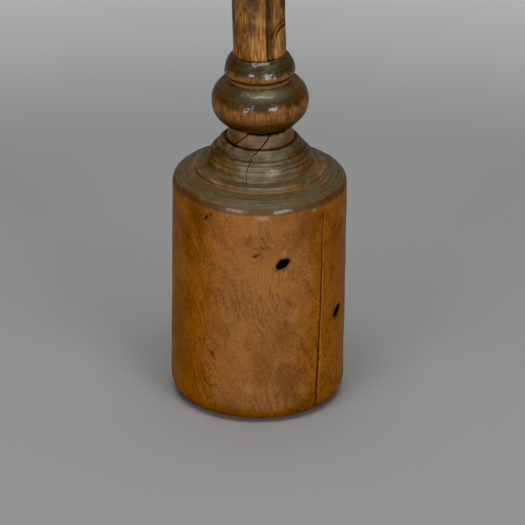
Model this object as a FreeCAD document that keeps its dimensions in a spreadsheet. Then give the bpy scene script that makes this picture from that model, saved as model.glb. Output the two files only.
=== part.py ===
"""Turned wooden muddler: a heavy head, a ring-and-ball collar and a long round handle.

Millimetres, Z up. The origin is the centre of the striking face, which stands on the table.
The front of the muddler looks along -Y. The handle and its collar lean slightly towards -X,
because the socket in the head is bored a little out of square.
"""
import FreeCAD, Part
import math
import os
import Sketcher

Vector = FreeCAD.Vector
Placement = FreeCAD.Placement
Rotation = FreeCAD.Rotation

DOC = FreeCAD.newDocument("muddler")
SHEET = DOC.addObject("Spreadsheet::Sheet", "Sheet")

# Driving sizes: alias, value, note. The head's heights are above the table. Heights of the ball,
# ring, collar, shaft and split are above the collar's seat on the neck, along the leaning axis.
DRIVING = (
    ("head_diameter", 70.0, "widest part of the head"),
    ("foot_round", 7.6, "rounding where the wall meets the striking face"),
    ("wall_height", 91.0, "top of the straight wall"),
    ("rim_radius", 33.9, "where the rounded rim ends"),
    ("rim_height", 94.9, "height there"),
    ("rim_round", 7.5, "radius of the rim's rounding"),
    ("step_radius", 26.5, "foot of the step on the shoulder"),
    ("step_foot_height", 97.9, "height there"),
    ("step_top_height", 99.8, "top of the step"),
    ("step_draft", 0.2, "how far the step leans in"),
    ("shoulder_round", 15.0, "radius of the gently crowned shoulder"),
    ("apron_radius", 21.7, "inner end of the flat above the step"),
    ("apron_height", 100.2, "height there"),
    ("bell_foot_radius", 21.0, "foot of the lower quarter-round"),
    ("bell_foot_height", 101.1, "height there"),
    ("bell_top_radius", 17.6, "top of the lower quarter-round"),
    ("bell_top_height", 107.7, "height there"),
    ("bell_round", 6.0, "radius of the lower quarter-round"),
    ("bead_radius", 17.1, "foot of the upper quarter-round"),
    ("bead_top_radius", 13.9, "top of the upper quarter-round"),
    ("bead_top_height", 111.2, "height there"),
    ("bead_round", 3.4, "radius of the upper quarter-round"),
    ("neck_groove", 0.7, "depth and height of the turned line at the foot of the neck"),
    ("neck_radius", 12.0, "top of the neck"),
    ("neck_height", 116.8, "height there, where the collar sits"),
    ("tenon_diameter", 16.0, "tenon of the handle"),
    ("tenon_clearance", 0.1, "radial clearance around the tenon"),
    ("tenon_length", 34.0, "how far the tenon goes below the collar's seat"),
    ("socket_gap", 2.0, "space left below the tenon"),
    ("socket_overrun", 1.0, "how far above the collar's seat the boring starts"),
    ("lean", 1.5, "degrees that the handle leans towards -X"),
    ("collar_seat_radius", 10.9, "underside of the ball"),
    ("ball_diameter", 38.9, "widest part of the ball"),
    ("ball_height", 10.6, "height of that widest part"),
    ("ball_lower_round", 10.6, "radius of the ball's lower half"),
    ("ball_upper_round", 9.6, "radius of the ball's upper half"),
    ("crease_radius", 12.8, "crease between ball and ring"),
    ("crease_foot_height", 19.7, "lower end of the crease"),
    ("crease_top_height", 21.2, "upper end of the crease"),
    ("ring_diameter", 28.4, "widest part of the ring"),
    ("ring_height", 23.1, "height of that widest part"),
    ("ring_lower_round", 2.3, "radius under the ring"),
    ("ring_upper_round", 9.3, "radius of the ring's long upper curve"),
    ("collar_height", 30.4, "top of the collar"),
    ("shaft_foot_radius", 10.4, "handle where it leaves the collar"),
    ("shaft_grip_radius", 11.9, "handle at the grip end"),
    ("shaft_grip_height", 179.0, "where the end dome starts"),
    ("shaft_end_height", 187.5, "top of the end dome"),
    ("split_foot_width", 3.9, "open split along the handle, at the collar"),
    ("split_top_width", 0.3, "open split along the handle, where it dies out"),
    ("split_depth", 7.0, "depth of that split"),
    ("split_top", 158.0, "height where the split dies out"),
    ("split_azimuth", 26.4, "degrees from the front towards +X"),
    ("check_foot_width", 1.3, "drying check in the head, at the striking face"),
    ("check_top_width", 0.4, "drying check in the head, at the rim"),
    ("check_depth", 9.0, "depth of the drying check"),
    ("check_foot_azimuth", 43.0, "degrees from the front towards +X"),
    ("check_top_azimuth", 47.8, "degrees from the front towards +X"),
    ("knot_length", 5.6, "long axis of a knot hole"),
    ("knot_width", 3.3, "short axis of a knot hole"),
    ("knot_depth", 1.6, "depth of a knot hole"),
    ("knot_tilt", 35.0, "degrees that a knot hole's long axis is turned up from level"),
    ("knot_a_azimuth", 16.0, "degrees from the front towards +X"),
    ("knot_a_height", 70.3, "height of the first knot hole"),
    ("knot_b_azimuth", 65.2, "degrees from the front towards +X"),
    ("knot_b_height", 41.3, "height of the second knot hole"),
)

# Sizes that follow from the ones above: alias, formula.
DERIVED = (
    ("head_radius", "=head_diameter / 2"),
    ("foot_radius", "=head_radius - foot_round"),
    ("step_top_radius", "=step_radius - step_draft"),
    ("groove_inner_radius", "=bead_top_radius - neck_groove"),
    ("groove_top_radius", "=bead_top_radius - neck_groove / 2"),
    ("groove_top_height", "=bead_top_height + neck_groove"),
    ("bore_radius", "=tenon_diameter / 2 + tenon_clearance"),
    ("tenon_radius", "=tenon_diameter / 2"),
    ("tenon_foot", "=-tenon_length"),
    ("socket_foot", "=-tenon_length - socket_gap"),
    ("seat_height", "=neck_height + collar_seat_radius * sin(lean * 1deg)"),
    ("ball_radius", "=ball_diameter / 2"),
    ("ring_radius", "=ring_diameter / 2"),
    ("knot_plane_radius", "=head_radius - knot_depth"),
    ("dome_rise", "=shaft_end_height - shaft_grip_height"),
    ("dome_round", "=(shaft_grip_radius ^ 2 + dome_rise ^ 2) / (2 * dome_rise)"),
    ("split_apex", "=shaft_foot_radius - split_depth"),
    ("split_mouth", "=shaft_grip_radius + 1"),
    ("split_flare", "=(split_mouth - split_apex) / split_depth"),
    ("split_foot_half", "=split_foot_width / 2 * split_flare"),
    ("split_top_half", "=split_top_width / 2 * split_flare"),
    ("check_apex", "=head_radius - check_depth"),
    ("check_mouth", "=head_radius + 1"),
    ("check_flare", "=(check_mouth - check_apex) / check_depth"),
    ("check_foot_half", "=check_foot_width / 2 * check_flare"),
    ("check_top_half", "=check_top_width / 2 * check_flare"),
    ("check_top", "=step_foot_height + 1"),
    ("zero", "=0 * head_diameter"),
)


def fill_sheet():
    """Writes the sizes into the spreadsheet, one row each."""
    row = 1
    for alias, value, note in DRIVING:
        SHEET.set(f"A{row}", alias)
        SHEET.set(f"B{row}", str(value))
        SHEET.set(f"C{row}", note)
        SHEET.setAlias(f"B{row}", alias)
        row += 1
    for alias, formula in DERIVED:
        SHEET.set(f"A{row}", alias)
        SHEET.set(f"B{row}", formula)
        SHEET.setAlias(f"B{row}", alias)
        row += 1
    DOC.recompute()


def size(alias):
    """The present value of a sheet cell."""
    return float(SHEET.get(alias))


def origin_item(body, role):
    """The body's own origin plane or axis with this role."""
    for item in body.Origin.OriginFeatures:
        if item.Role == role:
            return item
    raise ValueError(role)


def new_body(label):
    body = DOC.addObject("PartDesign::Body", label.capitalize() + "Body")
    body.Label = label
    return body


def new_sketch(body, name, role):
    """A sketch on one of the body's own origin planes."""
    sketch = body.newObject("Sketcher::SketchObject", name)
    sketch.AttachmentSupport = [(origin_item(body, role), "")]
    sketch.MapMode = "FlatFace"
    return sketch


def pin(sketch, element, end, across, up):
    """Holds one end of an element at the two named sizes."""
    for kind, alias in (("DistanceX", across), ("DistanceY", up)):
        index = sketch.addConstraint(Sketcher.Constraint(kind, -1, 1, element, end, size(alias)))
        sketch.setExpression(f"Constraints[{index}]", f"Sheet.{alias}")


def arc_between(start, end, radius):
    """The short arc from start to end that bulges to the right of that way, so outwards on an
    outline that runs anticlockwise."""
    chord = end - start
    outwards = Vector(chord.y, -chord.x, 0).normalize()
    to_centre = math.sqrt(radius ** 2 - (chord.Length / 2) ** 2)
    centre = (start + end) / 2 - outwards * to_centre
    return Part.Arc(start, centre + outwards * radius, end)


def outline(sketch, corners):
    """Draws a closed outline, anticlockwise. Each corner is (across, up, round): the names of its
    two sizes, and the name of the radius of the arc that leads to it, or None for a straight side.
    A straight side leads back to the first corner."""
    first = corners[0]
    ring = list(corners) + [(first[0], first[1], None)]
    last = len(ring) - 2
    for element, ((across0, up0, _), (across1, up1, rounding)) in enumerate(zip(ring, ring[1:])):
        start = Vector(size(across0), size(up0), 0)
        end = Vector(size(across1), size(up1), 0)
        if rounding is None:
            sketch.addGeometry(Part.LineSegment(start, end), False)
        else:
            sketch.addGeometry(arc_between(start, end, size(rounding)), False)
            index = sketch.addConstraint(Sketcher.Constraint("Radius", element, size(rounding)))
            sketch.setExpression(f"Constraints[{index}]", f"Sheet.{rounding}")
        if element > 0:
            sketch.addConstraint(Sketcher.Constraint("Coincident", element - 1, 2, element, 1))
        pin(sketch, element, 1, across0, up0)
        if element == last:
            sketch.addConstraint(Sketcher.Constraint("Coincident", element, 2, 0, 1))


def revolve(body, sketch, kind, name):
    """Turns a sketch a full circle around its own upright axis."""
    feature = body.newObject(kind, name)
    feature.Profile = sketch
    feature.ReferenceAxis = (sketch, ["V_Axis"])
    feature.Angle = 360
    return feature


def bind_azimuth(sketch, alias):
    """Turns a sketch on the table plane from the front (-Y) by the named number of degrees."""
    sketch.AttachmentOffset = Placement(Vector(0, 0, 0), Rotation(Vector(0, 0, 1), 45))
    sketch.setExpression("AttachmentOffset.Rotation.Angle", f"Sheet.{alias}")


def wedge(sketch, apex, mouth, half):
    """A triangle that points at the axis: its apex, and a mouth outside the wood towards -Y."""
    corners = [
        Vector(0, -size(apex), 0),
        Vector(size(half), -size(mouth), 0),
        Vector(-size(half), -size(mouth), 0),
    ]
    for start, end in zip(corners, corners[1:] + corners[:1]):
        sketch.addGeometry(Part.LineSegment(start, end), False)
    for element in range(3):
        following = (element + 1) % 3
        sketch.addConstraint(Sketcher.Constraint("Coincident", element, 2, following, 1))
    sketch.addConstraint(Sketcher.Constraint("PointOnObject", 0, 1, -2))
    sketch.addConstraint(Sketcher.Constraint("Symmetric", 1, 1, 1, 2, -2))
    named = (
        ("DistanceY", 0, 1, -1, 1, apex),
        ("DistanceY", 1, 1, -1, 1, mouth),
        ("DistanceX", -1, 1, 1, 1, half),
    )
    for kind, geometry0, end0, geometry1, end1, alias in named:
        constraint = Sketcher.Constraint(kind, geometry0, end0, geometry1, end1, size(alias))
        index = sketch.addConstraint(constraint)
        sketch.setExpression(f"Constraints[{index}]", f"Sheet.{alias}")


def open_check(body, name, apex, mouth, ends):
    """A wedge-shaped crack that points at the axis and changes width and azimuth along the grain.
    ends holds the lower and the upper end: (half of the mouth's width, azimuth, height)."""
    sections = []
    for end, (half, azimuth, height) in zip(("Foot", "Top"), ends):
        section = new_sketch(body, name + end, "XY_Plane")
        bind_azimuth(section, azimuth)
        section.setExpression("AttachmentOffset.Base.z", f"Sheet.{height}")
        wedge(section, apex, mouth, half)
        sections.append(section)
    crack = body.newObject("PartDesign::SubtractiveLoft", name)
    crack.Profile = sections[0]
    crack.Sections = sections[1:]
    crack.Ruled = True


def knot_hole(body, name, azimuth, height):
    """A shallow oval hole in the head's wall, cut outwards from a plane inside the wood."""
    sketch = new_sketch(body, f"{name}Outline", "XZ_Plane")
    sketch.AttachmentOffset = Placement(Vector(0, 0, 30), Rotation(Vector(0, 1, 0), 20))
    sketch.setExpression("AttachmentOffset.Rotation.Angle", f"Sheet.{azimuth}")
    across = f"Sheet.knot_plane_radius * sin(Sheet.{azimuth} * 1deg)"
    outwards = f"Sheet.knot_plane_radius * cos(Sheet.{azimuth} * 1deg)"
    sketch.setExpression("AttachmentOffset.Base.x", across)
    sketch.setExpression("AttachmentOffset.Base.y", f"Sheet.{height}")
    sketch.setExpression("AttachmentOffset.Base.z", outwards)

    tilt = math.radians(size("knot_tilt"))
    long_way = Vector(math.cos(tilt), math.sin(tilt), 0) * (size("knot_length") / 2)
    short_way = Vector(-math.sin(tilt), math.cos(tilt), 0) * (size("knot_width") / 2)
    oval = sketch.addGeometry(Part.Ellipse(long_way, short_way, Vector(0, 0, 0)), False)
    sketch.exposeInternalGeometry(oval)
    long_axis, short_axis = oval + 1, oval + 2
    sketch.addConstraint(Sketcher.Constraint("Coincident", oval, 3, -1, 1))
    named = (
        (Sketcher.Constraint("Distance", long_axis, size("knot_length")), "Sheet.knot_length"),
        (Sketcher.Constraint("Distance", short_axis, size("knot_width")), "Sheet.knot_width"),
        (Sketcher.Constraint("Angle", long_axis, tilt), "Sheet.knot_tilt * 1deg"),
    )
    for constraint, expression in named:
        index = sketch.addConstraint(constraint)
        sketch.setExpression(f"Constraints[{index}]", expression)

    hole = body.newObject("PartDesign::Pocket", name)
    hole.Profile = sketch
    hole.Reversed = True
    hole.setExpression("Length", "Sheet.knot_depth * 3")
    return hole


def build_head():
    """The turned block: striking cylinder, shoulder, step, two quarter-rounds and the neck."""
    body = new_body("head")
    profile = new_sketch(body, "HeadProfile", "XZ_Plane")
    outline(profile, (
        ("zero", "zero", None),
        ("foot_radius", "zero", None),
        ("head_radius", "foot_round", "foot_round"),
        ("head_radius", "wall_height", None),
        ("rim_radius", "rim_height", "rim_round"),
        ("step_radius", "step_foot_height", "shoulder_round"),
        ("step_top_radius", "step_top_height", None),
        ("apron_radius", "apron_height", None),
        ("bell_foot_radius", "bell_foot_height", None),
        ("bell_top_radius", "bell_top_height", "bell_round"),
        ("bead_radius", "bell_top_height", None),
        ("bead_top_radius", "bead_top_height", "bead_round"),
        ("groove_inner_radius", "bead_top_height", None),
        ("groove_top_radius", "groove_top_height", None),
        ("neck_radius", "neck_height", None),
        ("zero", "neck_height", None),
    ))
    revolve(body, profile, "PartDesign::Revolution", "HeadTurning")

    # the socket is bored along the handle's leaning axis, from the collar's seat downwards
    bore = new_sketch(body, "SocketProfile", "XZ_Plane")
    bore.AttachmentOffset = Placement(Vector(0, 100, 0), Rotation(Vector(0, 0, 1), 1))
    bore.setExpression("AttachmentOffset.Base.y", "Sheet.seat_height")
    bore.setExpression("AttachmentOffset.Rotation.Angle", "Sheet.lean")
    outline(bore, (
        ("zero", "socket_foot", None),
        ("bore_radius", "socket_foot", None),
        ("bore_radius", "socket_overrun", None),
        ("zero", "socket_overrun", None),
    ))
    revolve(body, bore, "PartDesign::Groove", "Socket")

    knot_hole(body, "KnotHoleA", "knot_a_azimuth", "knot_a_height")
    knot_hole(body, "KnotHoleB", "knot_b_azimuth", "knot_b_height")

    # the drying check runs up the whole wall, a little out of plumb, and narrows upwards
    open_check(body, "DryingCheck", "check_apex", "check_mouth", (
        ("check_foot_half", "check_foot_azimuth", "zero"),
        ("check_top_half", "check_top_azimuth", "check_top"),
    ))
    return body


def stand_on_seat(body):
    """Puts a body that is drawn from the collar's seat upwards onto the leaning axis."""
    body.Placement = Placement(Vector(0, 0, 100), Rotation(Vector(0, -1, 0), 1))
    body.setExpression("Placement.Base.z", "Sheet.seat_height")
    body.setExpression("Placement.Rotation.Angle", "Sheet.lean")


def build_collar():
    """The ball with the ring above it, one turning, bored through for the tenon."""
    body = new_body("collar")
    profile = new_sketch(body, "CollarProfile", "XZ_Plane")
    outline(profile, (
        ("bore_radius", "zero", None),
        ("collar_seat_radius", "zero", None),
        ("ball_radius", "ball_height", "ball_lower_round"),
        ("crease_radius", "crease_foot_height", "ball_upper_round"),
        ("crease_radius", "crease_top_height", None),
        ("ring_radius", "ring_height", "ring_lower_round"),
        ("shaft_foot_radius", "collar_height", "ring_upper_round"),
        ("bore_radius", "collar_height", None),
    ))
    revolve(body, profile, "PartDesign::Revolution", "CollarTurning")
    stand_on_seat(body)
    return body


def build_handle():
    """The long round stick: tenon, shoulder, slowly thickening grip and domed end."""
    body = new_body("handle")
    profile = new_sketch(body, "HandleProfile", "XZ_Plane")
    outline(profile, (
        ("zero", "tenon_foot", None),
        ("tenon_radius", "tenon_foot", None),
        ("tenon_radius", "collar_height", None),
        ("shaft_foot_radius", "collar_height", None),
        ("shaft_grip_radius", "shaft_grip_height", None),
        ("zero", "shaft_end_height", "dome_round"),
    ))
    revolve(body, profile, "PartDesign::Revolution", "HandleTurning")

    # the open split starts at the collar and runs up the handle until it dies out
    open_check(body, "Split", "split_apex", "split_mouth", (
        ("split_foot_half", "split_azimuth", "collar_height"),
        ("split_top_half", "split_azimuth", "split_top"),
    ))
    stand_on_seat(body)
    return body


def check_cut(body, name, least, most):
    """A cut that points the wrong way removes nothing, so its volume is compared."""
    feature = DOC.getObject(name)
    removed = feature.BaseFeature.Shape.Volume - feature.Shape.Volume
    if not least < removed < most:
        raise ValueError(f"{body.Label}: {name} removes {removed:.2f} mm3")


def check_document(bodies):
    """Stops if any object failed, is empty or is not valid."""
    for item in DOC.Objects:
        if "Invalid" in item.State or "Error" in item.State:
            raise ValueError(f"{item.Name}: {item.State}")
    for body in bodies:
        shape = body.Shape
        if shape.isNull() or not shape.isValid() or len(shape.Solids) != 1:
            raise ValueError(f"{body.Label}: not one valid solid")


def main():
    fill_sheet()
    head = build_head()
    collar = build_collar()
    handle = build_handle()
    DOC.recompute()

    bodies = (head, collar, handle)
    check_document(bodies)
    socket_volume = math.pi * size("bore_radius") ** 2 * -size("socket_foot")
    check_cut(head, "Socket", 0.9 * socket_volume, 1.1 * socket_volume)
    check_cut(head, "DryingCheck", 50, 600)
    check_cut(head, "KnotHoleA", 5, 40)
    check_cut(head, "KnotHoleB", 5, 40)
    check_cut(handle, "Split", 300, 1500)

    os.makedirs("parts", exist_ok=True)
    for body in bodies:
        body.Shape.exportStep(f"parts/{body.Label}.step")


main()
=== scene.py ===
"""Looks of the old turned muddler: three pieces of waxed, worn and cracked wood on a grey floor.

Sizes are in millimetres until a mesh is made. Azimuths are degrees from the front (-Y) towards +X.
Heights of the collar and the handle are above the collar's seat, along the leaning axis.
"""
from functools import reduce

import bpy
import numpy as np
from mathutils import Matrix, Vector


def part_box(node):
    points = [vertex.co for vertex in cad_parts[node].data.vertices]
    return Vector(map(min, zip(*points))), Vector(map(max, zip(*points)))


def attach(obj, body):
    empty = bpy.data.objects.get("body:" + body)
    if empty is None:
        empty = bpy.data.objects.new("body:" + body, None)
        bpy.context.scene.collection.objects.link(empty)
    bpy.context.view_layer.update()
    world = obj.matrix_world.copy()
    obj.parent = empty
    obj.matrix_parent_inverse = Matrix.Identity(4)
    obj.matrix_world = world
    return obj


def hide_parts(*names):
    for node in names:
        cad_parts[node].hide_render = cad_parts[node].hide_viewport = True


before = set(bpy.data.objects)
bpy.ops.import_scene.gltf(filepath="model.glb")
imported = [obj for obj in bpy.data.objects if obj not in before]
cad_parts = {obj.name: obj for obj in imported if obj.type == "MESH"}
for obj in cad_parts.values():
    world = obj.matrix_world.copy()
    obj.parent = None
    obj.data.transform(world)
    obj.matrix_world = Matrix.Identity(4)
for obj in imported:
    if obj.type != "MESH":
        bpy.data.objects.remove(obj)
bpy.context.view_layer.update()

MM = 0.001

# ---- sizes

HEAD_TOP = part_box("head")[1]
COLLAR_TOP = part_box("collar")[1]
HANDLE_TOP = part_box("handle")[1]

HEAD_RADIUS = HEAD_TOP.y / MM
NECK_HEIGHT = HEAD_TOP.z / MM
BALL_RADIUS = COLLAR_TOP.y / MM
GRIP_RADIUS = HANDLE_TOP.y / MM
LEAN = np.radians(1.5)
SEAT_RADIUS = 10.9
SEAT = np.array((0.0, 0.0, NECK_HEIGHT + SEAT_RADIUS * np.sin(LEAN)))
HANDLE_END = (HANDLE_TOP.z / MM - SEAT[2]) / np.cos(LEAN)
BORE_RADIUS = 8.1
TENON_RADIUS = 8.0
TENON_FOOT = -34.0
SOCKET_FOOT = -36.0
FOOT_ROUND = 7.6
CREASE_RADIUS = 12.8
COLLAR_HEIGHT = 30.4
SHAFT_RADIUS = 10.4
DOME_RISE = 8.5
DOME_HEIGHT = HANDLE_END - DOME_RISE
DOME_ROUND = (GRIP_RADIUS ** 2 + DOME_RISE ** 2) / (2 * DOME_RISE)

# Outlines from the axis outwards and up: across, up, and the radius of any arc that leads there.
HEAD_OUTLINE = (
    (0.0, 0.0),
    (HEAD_RADIUS - FOOT_ROUND, 0.0),
    (HEAD_RADIUS, FOOT_ROUND, FOOT_ROUND),
    (HEAD_RADIUS, 91.0),              # wall
    (33.9, 94.9, 7.5),                # rim
    (26.5, 97.9, 15.0),               # crowned shoulder
    (26.3, 99.8),                     # step
    (21.7, 100.2),                    # apron
    (21.0, 101.1),
    (17.6, 107.7, 6.0),               # the bell's lower quarter-round
    (17.1, 107.7),
    (13.9, 111.2, 3.4),               # its upper quarter-round
    (13.2, 111.2),                    # turned line at the neck's foot
    (13.55, 111.9),
    (12.0, NECK_HEIGHT),              # neck
    (BORE_RADIUS, NECK_HEIGHT),
)
COLLAR_OUTLINE = (
    (BORE_RADIUS, 0.0),
    (SEAT_RADIUS, 0.0),
    (BALL_RADIUS, 10.6, 10.6),
    (CREASE_RADIUS, 19.7, 9.6),
    (CREASE_RADIUS, 21.2),
    (14.2, 23.1, 2.3),                # ring
    (SHAFT_RADIUS, COLLAR_HEIGHT, 9.3),
    (BORE_RADIUS, COLLAR_HEIGHT),
)
SHAFT_OUTLINE = (
    (TENON_RADIUS, COLLAR_HEIGHT),
    (SHAFT_RADIUS, COLLAR_HEIGHT),
    (GRIP_RADIUS, DOME_HEIGHT),
    (0.0, HANDLE_END, DOME_ROUND),
)
TENON_OUTLINE = (
    (0.0, TENON_FOOT),
    (TENON_RADIUS, TENON_FOOT),
    (TENON_RADIUS, COLLAR_HEIGHT),
    (0.0, COLLAR_HEIGHT),
)

# Cracks: corners of (height, azimuth), then mouth width and depth at both ends of their run,
# how far they wander from side to side, and how much of a painted highlight lies on their right
# lip.
DRYING_CHECK = dict(
    path=((0.0, 43.0), (14.0, 43.6), (30.0, 44.9), (50.7, 45.9), (70.0, 46.3), (98.9, 47.8)),
    width=(1.35, 0.38), depth=(3.4, 1.2), ends=(-1.0, 95.4), wander=0.12, lip=0.7)
NECK_CRACK = dict(
    path=((98.9, -12.0), (101.0, -14.0), (104.0, -14.7), (107.7, -13.0), (109.5, -10.5),
          (111.2, -3.5), (113.0, 6.0), (114.5, 10.0), (115.4, 15.0), (116.8, 16.5)),
    width=(0.12, 0.50), depth=(0.35, 1.5), ends=(99.4, 117.5), wander=0.45, lip=0.0)
SIDE_CRACK = dict(
    path=((111.4, -49.0), (112.2, -45.0), (113.2, -41.0), (114.4, -36.0), (115.2, -33.0),
          (116.0, -27.0), (116.8, -25.0)),
    width=(0.70, 0.85), depth=(1.4, 1.6), ends=(110.9, 117.5), wander=0.5, lip=0.0)
BALL_CHECK = dict(
    path=((6.5, 14.0), (8.0, 13.5), (10.5, 12.0), (12.5, 12.0)),
    width=(0.16, 0.10), depth=(0.35, 0.2), ends=(6.6, 12.2), wander=0.4, lip=0.0)

# The handle's open split swings about its azimuth by sway degrees, once in about 6 sway_heights.
SPLIT = dict(azimuth=26.4, sway=1.0, sway_height=17.0, width=(3.9, 0.3), top=158.0, fade=12.0,
             depth=1.275)

# A long swelling beside the split, a rounded rectangle that the grain parts around.
SWELLING = dict(azimuth=65.0, height=33.0, half_width=4.7, half_length=9.8, squareness=3.2,
                relief=0.30)

# Hand stains, dirt and rubbed places on the shaft: azimuth, height, then how far each reaches
# sideways and upwards, and its strength.
SHAFT_STAINS = (
    (-14.0, 56.5, 2.8, 5.0, 0.70), (-11.0, 45.4, 3.0, 2.0, 0.75), (-22.0, 43.6, 3.0, 1.7, 0.5),
    (-9.0, 50.5, 2.4, 3.5, 0.7), (-68.0, 46.0, 1.6, 14.0, 0.6), (-36.0, 39.0, 1.6, 1.6, 0.4),
    (72.0, 55.0, 2.8, 6.5, 1.0), (44.0, 50.0, 1.2, 6.0, 0.6), (-44.0, 58.0, 1.4, 7.0, 0.4),
    (-8.0, 82.0, 4.0, 9.0, 0.5), (-48.0, 120.0, 3.0, 14.0, 0.5), (110.0, 70.0, 4.0, 10.0, 0.6),
    (165.0, 100.0, 5.0, 12.0, 0.6), (-120.0, 60.0, 4.0, 8.0, 0.6), (-150.0, 140.0, 4.0, 9.0, 0.5),
)
SHAFT_DIRT = ((63.0, 56.5, 2.4, 8.0, 0.62), (84.0, 48.0, 2.0, 6.0, 0.30))
SHAFT_RUBS = (
    (0.0, 47.8, 1.5, 4.0, 0.95), (50.0, 52.0, 1.8, 6.0, 0.45), (-2.0, 37.0, 4.0, 3.5, 0.7),
    (-40.0, 56.0, 1.5, 6.0, 0.4), (20.0, 95.0, 4.0, 14.0, 0.5), (-90.0, 90.0, 3.0, 16.0, 0.5),
    (130.0, 130.0, 4.0, 16.0, 0.6),
)

# The head's knot holes: length, width and tilt up from level; then azimuth and height of each.
KNOT_SIZE = (6.2, 3.9, 35.0)
KNOT_DEPTH = 2.4
KNOTS = ((16.0, 70.3), (65.2, 41.3))

# Dents on the head's wall: azimuth, height, length, width, tilt up from level, depth, darkness.
WALL_DENTS = (
    (-1.2, 74.7, 4.2, 1.6, 24.0, 0.25, 0.55),
    (-2.6, 74.0, 1.8, 1.3, 24.0, 0.30, 0.70),
    (-37.1, 87.8, 3.4, 1.2, 58.0, 0.30, 0.85),
    (-33.4, 89.6, 3.2, 0.8, 60.0, 0.20, 0.60),
    (-31.4, 28.7, 2.6, 1.1, 90.0, 0.25, 0.75),
    (-29.6, 27.2, 2.6, 1.2, -35.0, 0.10, 0.40),
    (-37.7, 16.0, 1.3, 1.1, 0.0, 0.20, 0.75),
    (-5.6, 33.2, 0.9, 0.9, 0.0, 0.15, 0.60),
    (-38.5, 80.5, 2.0, 0.6, -40.0, 0.08, 0.40),
    (24.0, 14.5, 3.2, 0.8, 75.0, 0.10, 0.30),
    (118.0, 58.0, 3.4, 1.5, 50.0, 0.30, 0.70),
    (163.0, 22.0, 1.6, 1.2, 10.0, 0.20, 0.60),
    (-98.0, 66.0, 2.8, 1.0, 70.0, 0.25, 0.60),
    (-142.0, 40.0, 3.6, 1.6, 30.0, 0.35, 0.75),
    (1.9, 91.4, 4.4, 2.4, 0.0, 0.35, 0.0),
)

# Darker smudges on the head, with the same columns as the shaft's stains.
HEAD_SMUDGES = (
    (-44.0, 87.0, 7.0, 7.0, 0.46), (-56.0, 76.0, 4.0, 10.0, 0.34), (34.0, 84.0, 8.0, 10.0, 0.42),
    (17.0, 38.0, 4.5, 10.0, 0.40), (21.0, 17.0, 7.0, 10.0, 0.44), (31.0, 7.0, 8.0, 5.0, 0.40),
    (-20.0, 7.0, 9.0, 4.0, 0.34), (-64.0, 30.0, 5.0, 20.0, 0.22), (-6.0, 81.0, 3.0, 2.5, 0.40),
    (2.0, 78.0, 5.0, 1.0, 0.30), (4.0, 28.0, 6.0, 9.0, 0.34), (66.0, 74.0, 5.0, 12.0, 0.30),
    (100.0, 50.0, 9.0, 20.0, 0.30), (150.0, 70.0, 10.0, 12.0, 0.35),
    (-120.0, 40.0, 10.0, 18.0, 0.30), (-160.0, 80.0, 8.0, 9.0, 0.30),
    (-46.0, 113.5, 9.0, 2.5, 0.50), (58.0, 113.5, 9.0, 2.5, 0.25), (-74.0, 105.5, 8.0, 5.0, 0.60),
    (60.0, 107.0, 12.0, 4.0, 0.50),
)
# Pale places on the head, with the same columns: rubbed spots, and painted highlights on the
# chip under the rim, a speck on the rim, the step and the bell.
PALE_SPOTS_AND_HIGHLIGHTS = (
    (1.7, 91.2, 2.0, 0.8, 0.5), (39.0, 91.5, 0.55, 0.55, 0.9), (-7.0, 103.2, 11.0, 2.6, 0.24),
    (14.0, 102.8, 4.5, 1.7, 0.50), (4.0, 99.0, 9.0, 0.5, 0.15), (-5.0, 15.0, 2.4, 2.0, 0.14),
    (-12.0, 17.5, 1.4, 1.4, 0.10),
)

# The moulded bell under the neck: heights of its fine turned lines, then where its patina is worn
# through and where painted shade darkens it, mostly at its sides. Those reach sideways in degrees.
BELL_RIDGES = (103.0, 105.6, 106.9, 108.3, 109.6, 110.8)
BELL_GROOVES = (111.3, 107.65, 106.2, 104.3)
BELL_LINE_WIDTH = 0.19
BARE_BELL = ((-48.0, 104.0, 14.0, 2.4, 1.0), (54.0, 105.0, 13.0, 2.0, 0.65),
             (-20.0, 105.0, 8.0, 1.2, 0.5))
BELL_SHADE = ((-52.0, 107.2, 19.0, 2.4, 0.60), (-34.0, 103.6, 15.0, 1.8, 0.34),
             (33.0, 106.4, 12.0, 1.1, 0.42), (64.0, 108.0, 16.0, 2.6, 0.40),
             (-20.0, 111.8, 9.0, 1.2, 0.35))

# How finely the pieces are divided: millimetres between the columns from each azimuth on, then
# the rows of the bores and the columns of the handle.
HEAD_SPANS = ((-180.0, 1.05), (-72.0, 0.52), (82.0, 1.05))
COLLAR_SPANS = ((-180.0, 0.62), (-80.0, 0.42), (80.0, 0.62))
SOCKET_ROWS = 11
COLLAR_BORE_ROWS = 12
SHAFT_COLUMNS = 216
TENON_COLUMNS = 48

# Heights on the head where one look gives way to the next.
RIM_FADE = (80.0, 90.0)
WAX_TOP = 94.6
MOULDING_FOOT = 97.8
NECK_FOOT = 111.6

# The columns across one crack: the place of each in half mouth widths, how far it is set aside
# from there, how deep it goes, how black with painted shade and how lit by a painted highlight.
CRACK_COLUMNS = (
    (-1.0, -0.16, 0.0, 0.0, 0.0),
    (-1.0, 0.0, 0.06, 0.35, 0.0),
    (-0.45, 0.0, 0.8, 1.0, 0.0),
    (0.0, 0.0, 1.0, 1.0, 0.0),
    (0.45, 0.0, 0.8, 1.0, 0.0),
    (1.0, 0.0, 0.06, 0.35, 1.0),
    (1.0, 0.16, 0.0, 0.0, 1.0),
)

# Wood colours: how the warmer parts of the base and the dusty parts of the patina differ, the
# black of painted shade in cracks and holes, and the tint of the painted sheen.
RUDDIER = (0.92, 0.68, 0.40)
DUSTIER = (1.55, 1.62, 1.50)
CRACK_BLACK = (0.015, 0.013, 0.016)
SHEEN_TINT = (0.9, 1.05, 0.92)


# ---- shapes

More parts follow.
